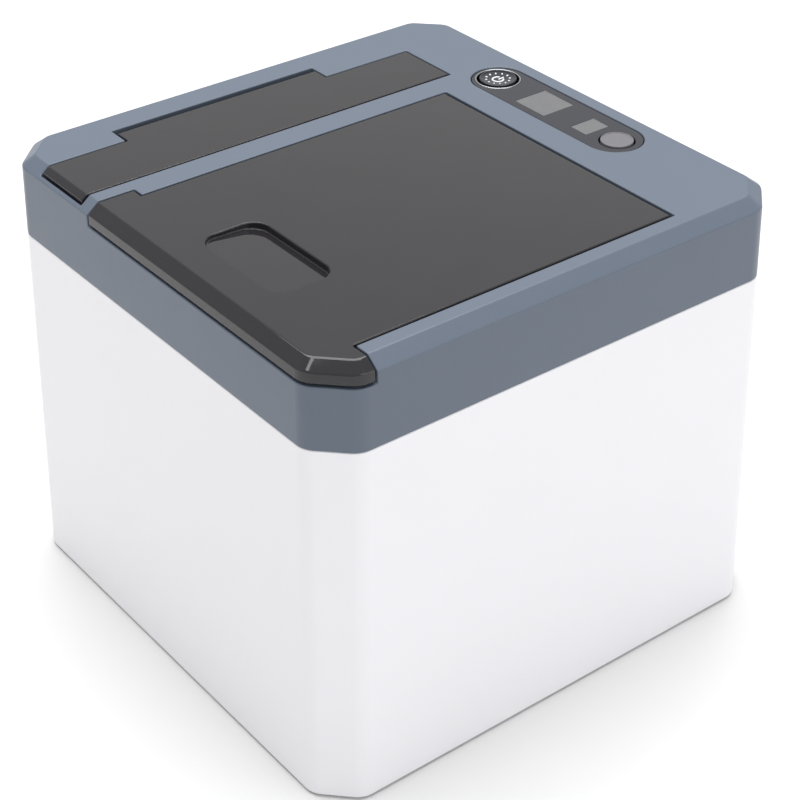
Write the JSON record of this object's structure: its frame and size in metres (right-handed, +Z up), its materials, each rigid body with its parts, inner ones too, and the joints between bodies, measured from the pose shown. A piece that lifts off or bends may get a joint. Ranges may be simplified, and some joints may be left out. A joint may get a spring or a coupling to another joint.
{
  "type": "receipt printer",
  "caption": "Desktop thermal receipt printer: eight-sided case with a hinged smoked paper door over a drop-in roll bin, feed roller, print head, side cover and control panel.",
  "frame": {"origin": "on the surface the printer stands on, under the middle of the case", "axes": "+Z up; -Y is the front, where the paper leaves; +X is the right-hand side seen from the front; the sockets are in the rear wall, +Y"},
  "size_m": [0.095, 0.095, 0.0808],
  "materials": {
    "white_shell": "satin moulded plastic",
    "grey_top": "satin moulded plastic, blue grey",
    "foot_rubber": "matte rubber",
    "smoked_plastic": "polished, smoke tinted",
    "panel_black": "polished",
    "light_key": "fine matt",
    "bright_ring": "polished",
    "lamp_window": "frosted",
    "roller_rubber": "ground rubber",
    "steel": "bright",
    "nylon": "natural nylon",
    "brass": "machined",
    "black_plastic": "moulded",
    "bin_plastic": "moulded",
    "zinc_sheet": "zinc plated sheet",
    "motor_can": "plated can",
    "blade_steel": "ground",
    "head_ceramic": "glazed alumina",
    "heatsink": "mill finish",
    "ribbon": "flat flexible cable",
    "circuit_board": "solder mask",
    "capacitor": "sleeved can",
    "socket_plastic": "natural",
    "lamp": "clear",
    "reset_key": "moulded"
  },
  "bodies": {
    "case": {"axle_clip": "black_plastic", "base_screws": "steel", "board_chips": "black_plastic", "board_screws": "steel", "body_shell": "white_shell", "bottom_cover": "white_shell", "button_board": "circuit_board", "buzzer": "black_plastic", "capacitors": "capacitor", "control_panel": "panel_black", "door_switch": "black_plastic", "frame_screws": "steel", "gear_axle": "steel", "head_bracket": "zinc_sheet", "head_heatsink": "heatsink", "head_ribbon": "ribbon", "head_springs": "steel", "hinge_pin": "steel", "indicator_lamps": "lamp", "jack_pin": "steel", "link_window": "lamp_window", "main_board": "circuit_board", "mechanism_frame": "zinc_sheet", "mode_switch": "zinc_sheet", "panel_screws": "steel", "paper_bin": "bin_plastic", "paper_sensor": "black_plastic", "power_jack": "black_plastic", "power_ring": "bright_ring", "print_head": "head_ceramic", "reset_switch": "zinc_sheet", "ribbon_socket": "socket_plastic", "rubber_feet": "foot_rubber", "settings_board": "circuit_board", "status_window": "lamp_window", "stepper_motor": "motor_can", "tact_switches": "black_plastic", "tear_bar": "blade_steel", "top_case": "grey_top", "top_screws": "steel", "usb_port": "zinc_sheet"},
    "door": {"paper_door": "smoked_plastic", "platen_carrier": "black_plastic", "platen_bushes": "nylon", "carrier_screws": "steel"},
    "platen": {"platen_roller": "roller_rubber", "platen_shaft": "steel", "platen_gear": "nylon"},
    "countershaft": {"compound_gear": "nylon"},
    "rotor": {"motor_shaft": "steel", "motor_pinion": "brass"},
    "power_key": {"power_button": "panel_black"},
    "feed_key": {"feed_button": "light_key"},
    "cover": {"side_cover": "smoked_plastic"},
    "mode_slider": {"mode_lever": "black_plastic"},
    "reset_key": {"reset_button": "reset_key"}
  },
  "joints": [
    {"name": "door_hinge", "type": "hinge", "parent": "case", "child": "door", "pos_m": [0.0124, 0.02335, 0.0792], "axis": [-1, 0, 0], "range_deg": [0, 95]},
    {"name": "platen_spin", "type": "hinge", "parent": "door", "child": "platen", "pos_m": [0.0105, -0.0357, 0.073], "axis": [1, 0, 0], "continuous": true},
    {"name": "countershaft_spin", "type": "hinge", "parent": "case", "child": "countershaft", "pos_m": [0.04, -0.0354, 0.06501], "axis": [1, 0, 0], "continuous": true},
    {"name": "motor_spin", "type": "hinge", "parent": "case", "child": "rotor", "pos_m": [0.03, -0.0354, 0.05601], "axis": [1, 0, 0], "continuous": true},
    {"name": "power_press", "type": "slide", "parent": "case", "child": "power_key", "axis": [0, 0, -1], "range_m": [0, 0.0006], "stiffness_N_per_m": 800, "springref_m": -0.0005},
    {"name": "feed_press", "type": "slide", "parent": "case", "child": "feed_key", "axis": [0, 0, -1], "range_m": [0, 0.0006], "stiffness_N_per_m": 800, "springref_m": -0.0005},
    {"name": "reset_press", "type": "slide", "parent": "case", "child": "reset_key", "axis": [0, 0, -1], "range_m": [0, 0.0005], "stiffness_N_per_m": 600, "springref_m": -0.0005},
    {"name": "mode_slide", "type": "slide", "parent": "case", "child": "mode_slider", "axis": [0, 1, 0], "range_m": [0, 0.002]},
    {"name": "cover_lift", "type": "slide", "parent": "case", "child": "cover", "axis": [0, 0, 1], "range_m": [0, 0.014]}
  ],
  "couplings": [
    {"joint": "countershaft_spin", "follows": "platen_spin", "ratio": -1.2857},
    {"joint": "motor_spin", "follows": "platen_spin", "ratio": 2.5714}
  ]
}
